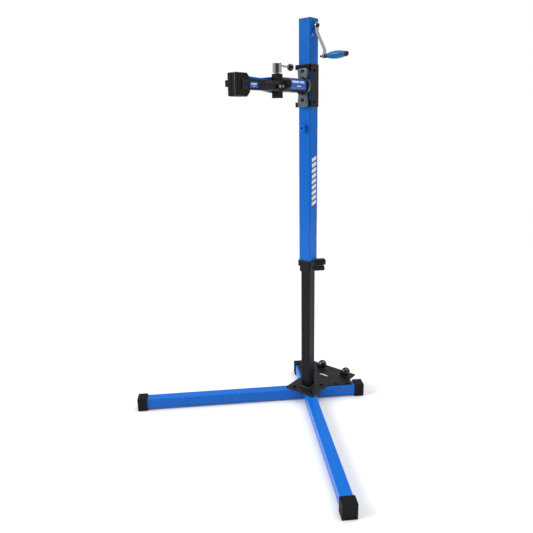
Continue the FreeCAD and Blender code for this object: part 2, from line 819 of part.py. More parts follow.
def bracket_sleeve():
    """Bent sheet wrapped round the mast, with a window up each front corner."""
    low, high = BRACKET
    outer = bracket_outer()
    sleeve = square(2 * outer, OUTER_CORNER + SHEET, low, high)
    sleeve = sleeve.cut(square(OUTER, OUTER_CORNER, low, high))
    out, thick, tall = BRACKET_TAB
    for z in (low, high - tall):
        tab = box(-outer - out, -outer + 7, -outer, thick - outer, z, z + tall)
        sleeve = sleeve.fuse(tab.cut(square(OUTER, OUTER_CORNER, low, high)))
    z0, z1 = BRACKET_WINDOW
    reach = outer + 1
    inset = OUTER / 2 - 3
    cuts = [box(inset, reach, -reach, -inset, z0, z1), box(-reach, -inset, -reach, -inset, z0, z1)]
    z, radius = SIGHT_HOLE
    cuts.append(rod(radius, V(OUTER / 2, 0, z), V(reach, 0, z)))
    for z in BRACKET_BOLTS:
        cuts.append(rod(M8[0], V(-reach, 0, z), V(reach, 0, z)))
    for z in FLANGE_BOLTS:
        cuts.append(rod(M8[0], V(0, -reach, z), V(0, 0, z)))
    return sleeve.cut(cuts)


def wall_bolt(place, out, head, grip):
    """Bolt through the mast wall with a thin nut inside the tube."""
    thin = 3.0
    screw = aimed(bolt(M8, grip + thin, head), place, out)
    inside = place - out * (grip + thin)
    return [screw, aimed(nut(M8, 0, thin), inside, out)]


def bracket_bolts():
    grip = SHEET + OUTER_WALL
    pieces = []
    for side in (-1, 1):
        for z in BRACKET_BOLTS:
            place = V(side * bracket_outer(), 0, z)
            pieces += wall_bolt(place, X * side, cap_head(M8, 4.5), grip)
    return group(pieces)


def flange_outline():
    """Tall plate with a round bulge at the clamp axis, as (x, z) points."""
    low, high = FLANGE_Z
    corner = 8.0
    half = FLANGE_HALF
    right = [(half - corner, low), (half, low + corner)]
    steps = 12
    for i in range(steps + 1):
        turn = math.radians(-52 + 104 * i / steps)
        right.append((FLANGE_BULGE * math.cos(turn), CLAMP_Z + FLANGE_BULGE * math.sin(turn)))
    right += [(half, high - corner), (half - corner, high)]
    return right + [(-x, z) for x, z in reversed(right)]


def clamp_flange():
    """Casting bolted to the front of the bracket, bored for the clamp shaft."""
    back = bracket_outer()
    front = back + FLANGE
    points = [V(x, -back, z) for x, z in flange_outline()]
    plate = Part.Face(Part.makePolygon(points + points[:1])).extrude(Y * -FLANGE)
    edges = [e for e in plate.Edges if e.BoundBox.YMax < -front + 1e-3]
    plate = plate.makeChamfer(1.5, edges)
    axis = V(0, 0, CLAMP_Z)
    cuts = [rod(CLAMP_SHAFT_R + RUN, axis - Y * back, axis - Y * front)]
    room = CLAMP_HEAD[1] + 2 * SLIP
    cuts.append(rod(CLAMP_HEAD[0] + 1, axis - Y * back, axis - Y * (back + room)))
    for z in FLANGE_BOLTS:
        cuts.append(rod(M8[0], V(0, -back, z), V(0, -front, z)))
        cuts.append(rod(8.0, V(0, -front + 4, z), V(0, -front, z)))
    return plate.cut(cuts)


def flange_bolts():
    seat = bracket_outer() + FLANGE - 4
    grip = FLANGE - 4 + SHEET + OUTER_WALL
    pieces = []
    for z in FLANGE_BOLTS:
        pieces += wall_bolt(V(0, -seat, z), -Y, cap_head(M8, 8.0), grip)
    return group(pieces)


def mast_stripe():
    """Blank decal with a border bar along each side, on the crank side of the mast."""
    x = OUTER / 2
    bars = []
    for y0, y1 in ((-18, -14), (-10, 13), (17, 21)):
        bars.append(box(x, x + LABEL * 0.6, y0, y1, 969, 1187))
    return group(bars)


# ---- clamp arm -----------------------------------------------------------

def on_arm(distance, x=0.0, z=CLAMP_Z):
    """A point out along the clamp arm, on its axis unless told otherwise."""
    return V(x, -distance, z)


def clamp_shaft():
    """Headed shaft: the head turns in the flange's back pocket."""
    start = bracket_outer() + SLIP
    head_end = start + CLAMP_HEAD[1]
    head = rod(CLAMP_HEAD[0], on_arm(start), on_arm(head_end))
    return fused(head, rod(CLAMP_SHAFT_R, on_arm(head_end), on_arm(DISC_FRONT + 45)))


def rotation_disc():
    back = bracket_outer() + FLANGE + SLIP
    thick = DISC_FRONT - back
    disc = turned([
        (CLAMP_SHAFT_R, 0), (DISC_R, 0), (DISC_R, thick - 1.2), (DISC_R - 1.2, thick),
        (CLAMP_SHAFT_R, thick),
    ])
    return aimed(disc, on_arm(back), -Y)


def arm_root():
    """Round root of the arm, narrowed to the block's width at its end."""
    barrel = rod(ROOT_R, on_arm(DISC_FRONT), on_arm(BLOCK_BACK))
    flare = Part.makeCone(ROOT_R + 4, ROOT_R, 7, on_arm(DISC_FRONT), -Y)
    top = [
        (-40.0, -DISC_FRONT), (-40.0, -ROOT_TAPER + 20), (-ROOT_R, -ROOT_TAPER),
        (-BLOCK_HALF, -BLOCK_BACK), (BLOCK_HALF, -BLOCK_BACK), (ROOT_R, -ROOT_TAPER),
        (40.0, -ROOT_TAPER + 20), (40.0, -DISC_FRONT),
    ]
    body = barrel.fuse(flare).common(prism(top, CLAMP_Z - 60, CLAMP_Z + 60))
    return body.cut(rod(CLAMP_SHAFT_R, on_arm(DISC_FRONT), on_arm(DISC_FRONT + 45)))


def arm_label():
    """Blank label wrapped on the crank side of the arm's root."""
    start, end, low, high = ROOT_LABEL
    long = end - start
    sector = Part.makeCylinder(ROOT_R + LABEL, long, V(0, 0, 0), Z, high - low)
    sector = sector.cut(Part.makeCylinder(ROOT_R, long))
    sector = around(sector, low)
    sector = around(sector, 90, axis=X)
    sector.translate(on_arm(start))
    return sector


def clamp_block():
    """Block with a front slot for the near arm's knuckle and a bore for the spindle."""
    low, high = BLOCK_Z
    block = box(-BLOCK_HALF, BLOCK_HALF, -BLOCK_FRONT, -BLOCK_BACK, low, high)
    upright = [e for e in block.Edges if e.BoundBox.ZLength > 1]
    block = block.makeFillet(2.0, upright)
    hinge = V(0, -HINGE_Y, 0)
    z0, z1 = KNUCKLE_Z
    room = KNUCKLE_R + SLIP
    slot = Part.makeCylinder(room, z1 - z0 + 2 * SLIP, hinge + V(0, 0, z0 - SLIP))
    mouth = box(-room, room + 2, -BLOCK_FRONT - 1, -HINGE_Y, z0 - SLIP, z1 + SLIP)
    sink = Part.makeCylinder(SPINDLE_HEAD[0] + SLIP, SPINDLE_HEAD[1] + SLIP, hinge + V(0, 0, low))
    bore = Part.makeCylinder(HINGE_R + RUN, high - low, hinge + V(0, 0, low))
    cuts = [slot, mouth, sink, bore]
    for i in range(3):
        y = -BLOCK_FRONT + 6.5 + 8 * i
        cuts.append(box(BLOCK_HALF - 3, BLOCK_HALF + 1, y, y + 3.5, high - 21, high + 1))
        cuts.append(box(BLOCK_HALF - 3, BLOCK_HALF + 1, y, y + 3.5, low - 1, low + 14))
    return block.cut(cuts)


def block_screws():
    """Set screw end and slotted adjuster on the crank side of the block."""
    set_end = on_arm(BLOCK_FRONT - 8, BLOCK_HALF, CLAMP_Z - 9)
    adjuster = on_arm(BLOCK_BACK + 5, BLOCK_HALF, CLAMP_Z - 8)
    screw = rod(5.5, set_end, set_end + X * 5)
    knob = rod(4.8, adjuster, adjuster + X * 6)
    tip = adjuster + X * 6
    knob = knob.cut(box(tip.x - 1.5, tip.x + 1, tip.y - 5, tip.y + 5, tip.z - 0.8, tip.z + 0.8))
    return group([screw, knob])


def far_arm():
    """Fixed arm on the far side."""
    top = [(-203.0, 1511.0), (-238.0, 1509.0), (-300.0, 1503.0), (-363.0, 1506.0)]
    bottom = [(-363.0, 1457.0), (-300.0, 1459.0), (-238.0, 1451.0), (-203.0, 1449.0)]
    ends = [(-JAW_BACK + 8, 1507.0), (-JAW_BACK - 4, 1507.0)]
    heels = [(-JAW_BACK - 4, 1456.0), (-JAW_BACK + 8, 1456.0)]
    arm = side_prism(top + ends + heels + bottom, FAR_ARM_X, -BLOCK_HALF)
    pocket = side_prism(
        [(-250.0, 1497.0), (-300.0, 1494.0), (-390.0, 1495.0), (-390.0, 1467.0), (-300.0, 1468.0), (-250.0, 1463.0)],
        FAR_ARM_X - 1, FAR_ARM_X + 4,
    )
    return arm.cut(pocket).cut([far_plate(), far_seat()])


def far_seat():
    """Room the far pad takes behind its plate."""
    return box(FAR_PAD_X, 0, -JAW_FRONT, -JAW_BACK, JAW_Z[0], JAW_Z[1])


def far_plate():
    low, high = JAW_Z
    return box(FAR_PAD_X - FAR_PLATE, FAR_PAD_X, -JAW_FRONT, -JAW_BACK, low + 2, high - 2)


def far_jaw():
    """Back plate of the far jaw with its end block and two screw heads."""
    x, z0, z1 = FAR_BLOCK
    back = FAR_PAD_X - FAR_PLATE
    block = box(x, back, -JAW_FRONT, -JAW_BACK - 6, z0, z1)
    low, high, radius, height = FAR_SCREWS
    heads = []
    for z in (low, high):
        place = V(back, -JAW_FRONT + 2 * radius, z)
        heads.append(rod(radius, place, place - X * height))
    return fused(far_plate(), block, *heads)


def tube_groove():
    """Upright round groove between the two pads."""
    middle = -(JAW_BACK + JAW_FRONT) / 2
    return Part.makeCylinder(JAW_TUBE_R, 120, V(JAW_SPLIT, middle, CLAMP_Z - 60))


def far_pad():
    pad = box(FAR_PAD_X, JAW_SPLIT - SLIP, -JAW_FRONT, -JAW_BACK, JAW_Z[0], JAW_Z[1])
    edges = [e for e in pad.Edges if e.BoundBox.XMin > JAW_SPLIT - 1 and e.BoundBox.ZLength > 1]
    return pad.makeChamfer(1.5, edges).cut(tube_groove())


def near_pad():
    pad = box(JAW_SPLIT + SLIP, NEAR_PAD_X, -JAW_FRONT, -JAW_BACK, JAW_Z[0], JAW_Z[1])
    edges = [e for e in pad.Edges if e.BoundBox.XMax < JAW_SPLIT + 1 and e.BoundBox.ZLength > 1]
    return pad.makeChamfer(1.5, edges).cut(tube_groove())


def near_jaw_shell():
    """Back shell of the near jaw, its rear corners cut off toward the arm."""
    z0, z1 = JAW_Z
    back = -JAW_BACK + 7
    outline = [
        (-JAW_FRONT, z0), (back - SHELL_BEVEL, z0), (back, z0 + SHELL_BEVEL),
        (back, z1 - SHELL_BEVEL), (back - SHELL_BEVEL, z1), (-JAW_FRONT, z1),
    ]
    shell = side_prism(outline, NEAR_PAD_X, NEAR_SHELL_X)
    edges = [e for e in shell.Edges if e.BoundBox.XMin > NEAR_SHELL_X - 1e-3]
    return shell.makeChamfer(2.5, edges)


def obround(y0, y1, z, radius, x0, x1):
    """Round-ended bar along Y with its thickness along X."""
    ends = [rod(radius, V(x0, y, z), V(x1, y, z)) for y in (y0, y1)]
    low, high = sorted((y0, y1))
    return fused(box(x0, x1, low, high, z - radius, z + radius), *ends)


def near_arm():
    """Moving arm: knuckle on the spindle, cranked web, pocketed bar, tongue on the jaw."""
    z0, z1 = KNUCKLE_Z
    inner, outer = NEAR_ARM_X
    hinge = V(0, -HINGE_Y, z0)
    knuckle = Part.makeCylinder(KNUCKLE_R, z1 - z0, hinge)
    plan = [
        (-9.0, -HINGE_Y - 3), (8.0, -HINGE_Y), (8.0, -BLOCK_FRONT - 7), (outer, -BLOCK_FRONT - 11),
        (outer, -JAW_BACK - 3), (NEAR_SHELL_X, -JAW_BACK - 8), (NEAR_SHELL_X, -JAW_BACK + 7),
        (inner, -JAW_BACK + 7), (inner, -BLOCK_FRONT - 33), (-9.0, -BLOCK_FRONT - 6),
    ]
    bar = prism(plan, z0, z1)
    tongue = box(NEAR_SHELL_X, outer - 2, -JAW_BACK - 40, -JAW_BACK, z0 + 3, z1 - 3)
    start, end, z, radius, rim = POCKET
    ring = obround(start, end, z, radius + rim, inner, outer + 1.5)
    slot = obround(start, end, z, radius, outer - 5, outer + 2)
    well = box(outer - 3, outer + 1, -JAW_BACK - 34, -JAW_BACK - 14, z0 + 9, z1 - 9)
    bore = Part.makeCylinder(HINGE_R + RUN, z1 - z0, hinge)
    return fused(knuckle, bar, tongue, ring).cut([slot, well, bore])


def near_label():
    """Small blank label on the near arm just behind the jaw."""
    outer = NEAR_ARM_X[1]
    z = CLAMP_Z - 10
    return box(outer, outer + LABEL, -JAW_BACK - 1, -JAW_BACK + 44, z - 10, z + 10)


# ---- cam lever -----------------------------------------------------------

def hinge_spindle():
    """Spindle down through the block and knuckle, its head sunk in the block's underside."""
    low, high = BLOCK_Z
    head, sunk = SPINDLE_HEAD
    spindle = turned([
        (0, low), (head, low), (head, low + sunk), (HINGE_R, low + sunk),
        (HINGE_R, high + SLIP), (10.0, high + SLIP), (10.0, CAM_Z[0]), (0, CAM_Z[0]),
    ])
    spindle.translate(V(0, -HINGE_Y, 0))
    return spindle


def cam_rod_ends():
    y, z = CAM_BALL
    ball = V(0, y, z)
    return V(0, -HINGE_Y, z + 3), ball


def cam_barrel():
    low, high = CAM_Z
    start, ball = cam_rod_ends()
    barrel = turned([
        (0, low), (CAM_R - 1, low), (CAM_R, low + 1), (CAM_R, high - 1.5), (CAM_R - 1.5, high),
        (6.0, high), (6.0, high - 2), (0, high - 2),
    ])
    barrel.translate(V(0, -HINGE_Y, 0))
    return barrel.cut(rod(CAM_ROD_R, start, ball))


def cam_rod():
    start, ball = cam_rod_ends()
    return rod(CAM_ROD_R, start, ball)


def cam_ball():
    start, ball = cam_rod_ends()
    return Part.makeSphere(CAM_BALL_R, ball).cut(rod(CAM_ROD_R, start, ball))


# ---- all nodes -----------------------------------------------------------

def nodes():
    return {
        "base_plate": base_plate(),
        "inner_mast": inner_mast(),
        "lead_nut": lead_nut(),
        "mast_glides": mast_glides(),
        "rear_stub_left": rear_stub(135),
        "rear_stub_right": rear_stub(45),
        "rear_cap_left": foot_cap(STUB_REACH, LEG_BOTTOM, 135),
        "rear_cap_right": foot_cap(STUB_REACH, LEG_BOTTOM, 45),
        "stub_bolts": stub_bolts(),
        "pivot_bolts": pivot_bolts(),
        "lever_studs": lever_studs(),
        "leg_left": long_leg(-135),
        "leg_right": long_leg(-45),
        "leg_cap_left": foot_cap(LEG_REACH, LEG_BOTTOM - SLIP, -135),
        "leg_cap_right": foot_cap(LEG_REACH, LEG_BOTTOM - SLIP, -45),
        "lever_hub_left": lever_hub(-1),
        "lever_hub_right": lever_hub(1),
        "lever_ball_left": lever_ball(-1),
        "lever_ball_right": lever_ball(1),
        "outer_mast": outer_mast(),
        "top_cap": top_cap(),
        "guide_collar": guide_collar(),
        "collar_bolts": collar_bolts(),
        "collar_glides": collar_glides(),
        "gear_carrier": gear_carrier(),
        "carrier_screws": carrier_screws(),
        "shaft_bushes": shaft_bushes(),
        "accessory_boss": accessory_boss(),
        "bracket_sleeve": bracket_sleeve(),
        "bracket_bolts": bracket_bolts(),
        "clamp_flange": clamp_flange(),
        "flange_bolts": flange_bolts(),
        "mast_stripe": mast_stripe(),
        "lead_screw": lead_screw(),
        "screw_gear": screw_gear(),
        "crank_shaft": crank_shaft(),
        "crank_gear": crank_gear(),
        "crank_arm": crank_arm(),
        "crank_bolt": crank_bolt(),
        "handle_bolt": handle_bolt(),
        "grip_ferrule": grip_ferrule(),
        "grip": grip(),
        "grip_end_cap": grip_end_cap(),
        "clamp_shaft": clamp_shaft(),
        "rotation_disc": rotation_disc(),
        "arm_root": arm_root(),
        "arm_label": arm_label(),
        "clamp_block": clamp_block(),
        "block_screws": block_screws(),
        "far_arm": far_arm(),
        "far_jaw": far_jaw(),
        "far_pad": far_pad(),
        "near_arm": near_arm(),
        "near_jaw_shell": near_jaw_shell(),
        "near_pad": near_pad(),
        "near_label": near_label(),
        "hinge_spindle": hinge_spindle(),
        "cam_barrel": cam_barrel(),
        "cam_rod": cam_rod(),
        "cam_ball": cam_ball(),
    }


def main():
    os.makedirs("parts", exist_ok=True)
    for name, shape in nodes().items():
        placed = shape.copy()
        placed.translate(V(0, MAST_BACK, -FLOOR))
        placed.exportStep(f"parts/{name}.step")


main()
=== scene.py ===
"""Finishes, moulded pieces, stage and camera for the bike repair stand."""
import json
import math

import bmesh
import bpy
from bpy.props import FloatProperty, FloatVectorProperty, IntProperty, PointerProperty
from mathutils import Matrix, Vector, noise


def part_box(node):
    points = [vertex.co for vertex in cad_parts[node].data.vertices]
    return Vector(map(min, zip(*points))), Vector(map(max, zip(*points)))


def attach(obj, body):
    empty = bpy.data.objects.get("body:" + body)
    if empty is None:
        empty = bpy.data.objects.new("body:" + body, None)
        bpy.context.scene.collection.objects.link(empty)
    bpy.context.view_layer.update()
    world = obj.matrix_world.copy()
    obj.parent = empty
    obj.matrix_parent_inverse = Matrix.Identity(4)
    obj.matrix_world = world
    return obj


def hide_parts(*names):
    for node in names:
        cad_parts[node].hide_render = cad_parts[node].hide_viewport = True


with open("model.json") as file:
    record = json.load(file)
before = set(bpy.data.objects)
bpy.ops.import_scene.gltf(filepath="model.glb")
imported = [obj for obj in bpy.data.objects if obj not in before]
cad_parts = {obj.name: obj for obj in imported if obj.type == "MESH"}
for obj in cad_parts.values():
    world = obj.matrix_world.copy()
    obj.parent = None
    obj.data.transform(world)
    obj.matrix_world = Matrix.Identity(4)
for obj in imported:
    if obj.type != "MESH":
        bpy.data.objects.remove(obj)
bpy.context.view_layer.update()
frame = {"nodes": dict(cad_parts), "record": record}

bl_info = {
    "name": "Bike Repair Stand",
    "version": (1, 0, 0),
    "blender": (4, 5, 0),
    "location": "View3D > Sidebar > Stand",
    "description": "Finishes and moulded pieces for a crank-lifted bike repair stand",
    "category": "Object",
}

MM = 0.001

# The camera stands this far from the foot of the mast's axis, in metres, and is
# turned, dipped and rolled by these degrees.
CAMERA_PLACE = (1.3247, -1.9013, 1.3474)
CAMERA_TURN = 39.7
CAMERA_DIP = 15.88
CAMERA_ROLL = -1.21

# Where each soft light comes from, and how wide it looks from the stand in degrees.
KEY_FROM = (-0.62, -0.72, 0.62)
KEY_SPREAD = 35
TOP_FROM = (0.25, 0.2, 1.0)
TOP_SPREAD = 60
FLOOR_HALF = 4


# ---- colours and nodes ---------------------------------------------------

def linear(code):
    """Linear RGB of an sRGB hex colour."""
    channels = [int(code[i:i + 2], 16) / 255 for i in (1, 3, 5)]
    return [c / 12.92 if c <= 0.04045 else ((c + 0.055) / 1.055) ** 2.4 for c in channels]


def add(tree, kind, settings=None, links=None):
    """Adds one node, with its settings and its incoming links."""
    node = tree.nodes.new(kind)
    for key, value in (settings or {}).items():
        if isinstance(key, int) or key in node.inputs:
            node.inputs[key].default_value = value
        else:
            setattr(node, key, value)
    for key, source in (links or {}).items():
        tree.links.new(source, node.inputs[key])
    return node


def finish(name, colour, roughness, metallic=0.0, coat=0.0, specular=0.5, mottle=(40.0, 0.08),
           grain=(0.8, 0.02), haze=(9.0, 0.08), edge=(0.6, "#808080", 0.2), brush=None):
    """One finish from its real sizes in millimetres.

    mottle: patch size and how far the colour drifts. grain: lump size and depth.
    haze: patch size and swing of the roughness. edge: rounding, colour and amount
    of the paler rim on rounded edges, partly rubbed wear and partly a painted highlight. brush:
    direction to stretch the grain in, for drawn metal.
    """
    mat = bpy.data.materials.new(name)
    mat.use_nodes = True
    tree = mat.node_tree
    tree.nodes.clear()
    place = add(tree, "ShaderNodeTexCoord").outputs["Object"]
    patches = add(tree, "ShaderNodeTexNoise", {"Scale": 1000 / mottle[0], "Detail": 4.0},
                  {"Vector": place})
    base = Vector(colour)
    dark = [*(base * (1 - mottle[1])), 1]
    light = [*(base * (1 + mottle[1])), 1]
    drift = add(tree, "ShaderNodeMix", {"data_type": "RGBA", 6: dark, 7: light},
                {0: patches.outputs["Fac"]})
    lumps_at = place
    if brush:
        stretch = add(tree, "ShaderNodeMapping", {"Scale": brush}, {"Vector": place})
        lumps_at = stretch.outputs["Vector"]
    lumps = add(tree, "ShaderNodeTexNoise", {"Scale": 1000 / grain[0], "Detail": 3.0},
                {"Vector": lumps_at})
    rounded = add(tree, "ShaderNodeBevel", {"samples": 4, "Radius": edge[0] * MM})
    bump = add(tree, "ShaderNodeBump", {"Strength": 1.0, "Distance": grain[1] * MM},
               {"Height": lumps.outputs["Fac"], "Normal": rounded.outputs["Normal"]})
    true_normal = add(tree, "ShaderNodeNewGeometry").outputs["Normal"]
    facing = add(tree, "ShaderNodeVectorMath", {"operation": "DOT_PRODUCT"},
                 {0: rounded.outputs["Normal"], 1: true_normal})
    # Paler rim on rounded edges: partly rubbed wear, partly a painted highlight along the edges,
    # broken up by noise.
    edge_wear_and_highlight = add(tree, "ShaderNodeMapRange",
                 {"From Min": 0.99, "From Max": 0.86, "To Min": 0.0, "To Max": edge[2]},
                 {"Value": facing.outputs["Value"]})
    edge_breakup = add(tree, "ShaderNodeTexNoise", {"Scale": 1000 / 6.0, "Detail": 5.0},
                 {"Vector": place})
    wear_and_highlight_mask = add(tree, "ShaderNodeMath", {"operation": "MULTIPLY"},
               {0: edge_wear_and_highlight.outputs["Result"], 1: edge_breakup.outputs["Fac"]})
    skin_colour = add(tree, "ShaderNodeMix", {"data_type": "RGBA", 7: [*linear(edge[1]), 1]},
                      {0: wear_and_highlight_mask.outputs["Value"], 6: drift.outputs[2]})
    cloudy = add(tree, "ShaderNodeTexNoise", {"Scale": 1000 / haze[0], "Detail": 3.0},
                 {"Vector": place})
    rough = add(tree, "ShaderNodeMapRange",
                {"From Min": 0.3, "From Max": 0.7, "To Min": max(0.02, roughness - haze[1]),
                 "To Max": min(1.0, roughness + haze[1])},
                {"Value": cloudy.outputs["Fac"]})
    shader = add(tree, "ShaderNodeBsdfPrincipled",
                 {"Metallic": metallic, "Specular IOR Level": specular, "Coat Weight": coat,
                  "Coat Roughness": 0.06},
                 {"Base Color": skin_colour.outputs[2], "Roughness": rough.outputs["Result"],
                  "Normal": bump.outputs["Normal"]})
    add(tree, "ShaderNodeOutputMaterial", {}, {"Surface": shader.outputs["BSDF"]})
    return mat


def finishes(colours):
    """Every finish on the stand, by the record's slot name."""
    return {
        # Gloss powder coat on steel tube: faint orange peel under a clear shine.
        "blue_paint": finish("gloss_powder_coat_on_steel", colours.tube_blue, 0.3, coat=0.12,
                             specular=0.16, mottle=(60, 0.05), grain=(2.2, 0.012),
                             edge=(1.0, "#3f8fe0", 0.35)),
        # Wrinkle powder coat on plate and sheet: a dry, pebbled black.
        "textured_black": finish("wrinkle_powder_coat_on_plate", linear("#141417"), 0.52,
                                 specular=0.3, mottle=(18, 0.25), grain=(1.1, 0.09),
                                 edge=(0.8, "#5b5e63", 0.5)),
        # Satin powder coat on the sliding tube, polished along the way it slides.
        "black_tube": finish("satin_powder_coat_on_steel", linear("#07090e"), 0.36, specular=0.2,
                             mottle=(30, 0.2), grain=(1.5, 0.02), edge=(1.0, "#4a4d55", 0.4),
                             brush=(1.0, 1.0, 0.05)),
        # Painted sand casting: soft edges and a coarse grain under the paint; the pale grey rim on
        # its edges is a painted highlight.
        "black_casting": finish("painted_sand_casting", linear("#08090b"), 0.34, specular=0.22,
                                mottle=(14, 0.22), grain=(1.8, 0.12), edge=(1.6, "#8c9096", 0.6)),
        # The same black casting in a lighter grey metal colour that is a painted reflection of
        # bright light on its face, with a soft shine; its pale edge rim is a painted highlight.
        "grey_casting": finish("lacquered_machined_casting", linear("#6d747d"), 0.3, metallic=0.75,
                               mottle=(20, 0.25), grain=(0.9, 0.03), haze=(16, 0.1),
                               edge=(1.6, "#b9bec6", 0.6)),
        # Stoved enamel on the arm: near black with a clear reflection; the pale grey rim on its
        # edges is a painted highlight.
        "gloss_black_paint": finish("stoved_enamel_on_forging", linear("#030304"), 0.18, coat=0.25,
                                    specular=0.2, mottle=(25, 0.15), grain=(3.0, 0.03),
                                    edge=(2.2, "#a4a8ae", 0.55)),
        # Black oxide on turned bolts: dark oily metal.
        "dark_steel": finish("black_oxide_on_turned_steel", linear("#3a3b3e"), 0.36, metallic=1.0,
                             mottle=(8, 0.2), grain=(0.5, 0.01), edge=(0.5, "#9a9ca0", 0.7)),
        # Zinc plate on turned steel: pale, slightly milky metal.
        "zinc_steel": finish("zinc_plate_on_turned_steel", linear("#b7bac0"), 0.27, metallic=1.0,
                             mottle=(10, 0.1), grain=(0.6, 0.01), edge=(0.5, "#e0e2e6", 0.6)),
        # Chrome plate on polished steel: near mirror with faint hazy patches.
        "chrome": finish("chrome_plate_on_polished_steel", linear("#c9cacc"), 0.11, metallic=1.0,
                         mottle=(12, 0.04), grain=(4.0, 0.006), haze=(14, 0.05),
                         edge=(0.7, "#ffffff", 0.3)),
        # Milled aluminium: fine parallel cutter lines.
        "bare_aluminium": finish("milled_aluminium", linear("#c3c5c9"), 0.38, metallic=1.0,
                                 mottle=(15, 0.06), grain=(0.7, 0.02), brush=(0.1, 1.0, 1.0)),
        # Turned bronze: warm and slightly dulled.
        "bronze": finish("turned_bronze", linear("#a8763c"), 0.34, metallic=1.0, mottle=(9, 0.12),
                         grain=(0.6, 0.015), edge=(0.5, "#e0b070", 0.5)),
        # Moulded rubber: matt charcoal with a greyish bloom on its edges.
        "rubber": finish("moulded_rubber", linear("#09090a"), 0.62, specular=0.2, mottle=(12, 0.25),
                         grain=(0.9, 0.05), haze=(7, 0.1), edge=(1.6, "#47484a", 0.45)),
        # Moulded nylon: off-white and waxy.
        "nylon": finish("moulded_nylon", linear("#d8d5cb"), 0.5, mottle=(10, 0.05),
                        grain=(0.8, 0.02)),
        # Moulded ABS: black with a fine spark-eroded grain.
        "black_plastic": finish("moulded_abs", linear("#121214"), 0.46, mottle=(15, 0.15),
                                grain=(0.7, 0.04), edge=(0.9, "#44464a", 0.4)),
        # Polished phenolic ball knobs: deep black with a hard shine.
        "gloss_black": finish("polished_phenolic", linear("#08080a"), 0.12, coat=0.5,
                              mottle=(9, 0.15), grain=(3.0, 0.008), haze=(11, 0.05),
                              edge=(0.5, "#3a3c40", 0.2)),
        # Moulded handle in blue ABS: smooth, a little brighter than the tubes.
        "blue_plastic": finish("moulded_blue_abs", colours.grip_blue, 0.34, coat=0.1, specular=0.25,
                               mottle=(14, 0.08), grain=(1.6, 0.02), edge=(0.8, "#5aa0e8", 0.3)),
        # Printed vinyl label, blue ground.
        "label_blue": finish("printed_vinyl_blue", linear("#0b62cf"), 0.3, coat=0.2, specular=0.35,
                             mottle=(9, 0.07), grain=(2.5, 0.01), edge=(0.3, "#8fc0f5", 0.3)),
        # Printed vinyl, white ink.
        "label_white": finish("printed_vinyl_white", linear("#eceef0"), 0.32, coat=0.2,
                              mottle=(9, 0.04), grain=(2.5, 0.01), edge=(0.3, "#c8ccd0", 0.3)),
        # Printed vinyl, dark outline ink.
        "label_dark": finish("printed_vinyl_navy", linear("#10204a"), 0.32, coat=0.2,
                             mottle=(9, 0.08), grain=(2.5, 0.01), edge=(0.3, "#30406a", 0.3)),
    }


# ---- mesh helpers --------------------------------------------------------

def made():
    """The finishes, kept by the first operator for the rest."""
    return {m["slot_name"]: m for m in bpy.data.materials if m.get("slot_name")}


def skin(rings, capped=True):
    """Mesh through a row of closed rings of points."""
    bm = bmesh.new()
    loops = [[bm.verts.new(p) for p in ring] for ring in rings]
    for low, high in zip(loops, loops[1:]):
        for i in range(len(low)):
            j = (i + 1) % len(low)
            bm.faces.new((low[i], low[j], high[j], high[i]))
    if capped:
        bm.faces.new(list(reversed(loops[0])))
        bm.faces.new(loops[-1])
    bmesh.ops.recalc_face_normals(bm, faces=bm.faces)
    return bm


def frame_of(axis):
    """Two directions square to an axis."""
    axis = axis.normalized()
    side = axis.orthogonal().normalized()
    return side, axis.cross(side)


def lathe(profile, start, axis, steps=64):
    """Turned shape through (distance along the axis, radius) points."""
    axis = axis.normalized()
    side, over = frame_of(axis)
    rings = []
    for along, radius in profile:
        ring = []
        for i in range(steps):
            turn = 2 * math.pi * i / steps
            out = side * math.cos(turn) + over * math.sin(turn)
            ring.append(start + axis * along + out * radius)
        rings.append(ring)
    return skin(rings)


def piece(name, bm, body, slot, replaces=(), crease=35.0):
    """Turns a mesh into a named piece on its body with its finish."""
    mesh = bpy.data.meshes.new(name)
    bm.to_mesh(mesh)
    bm.free()
    obj = bpy.data.objects.new(name, mesh)
    bpy.context.scene.collection.objects.link(obj)
    for face in mesh.polygons:
        face.use_smooth = True
    mesh.set_sharp_from_angle(angle=math.radians(crease))
    mesh.materials.append(made()[slot])
    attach(obj, body)
    if replaces:
        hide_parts(*replaces)
    return obj


def middle(node):
    """Middle of a node's box."""
    low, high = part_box(node)
    return (Vector(low) + Vector(high)) / 2


def span(node):
    """Size of a node's box."""
    low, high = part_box(node)
    return Vector(high) - Vector(low)


def mast_axis():
    """Foot of the mast's axis, on the floor."""
    centre = middle("outer_mast")
    return Vector((centre.x, centre.y, 0))


# ---- settings ------------------------------------------------------------

class StandSettings(bpy.types.PropertyGroup):
    """Colours and sizes that a user would change."""
    tube_blue: FloatVectorProperty(
        name="Tube blue", description="Powder coat colour of the tubes",
        default=linear("#0068ca"), subtype="COLOR", size=3, min=0, max=1)
    grip_blue: FloatVectorProperty(
        name="Grip blue", description="Colour of the crank's hand grip",
        default=linear("#0068a8"), subtype="COLOR", size=3, min=0, max=1)
    seam: FloatProperty(
        name="Mould seam", description="Depth of the mould seam round knobs and grip",
        default=0.25 * MM, unit="LENGTH", min=0, max=1 * MM)
    bead: FloatProperty(
        name="Weld bead", description="Radius of the weld beads",
        default=3.2 * MM, unit="LENGTH", min=0, max=5 * MM)
    ripples: IntProperty(
        name="Bead ripples", description="Ripples in each 100 mm of weld bead",
        default=45, min=5, max=90)
    bar_count: IntProperty(
        name="Decal bars", description="Slanted bars on the mast decal", default=9, min=1, max=20)


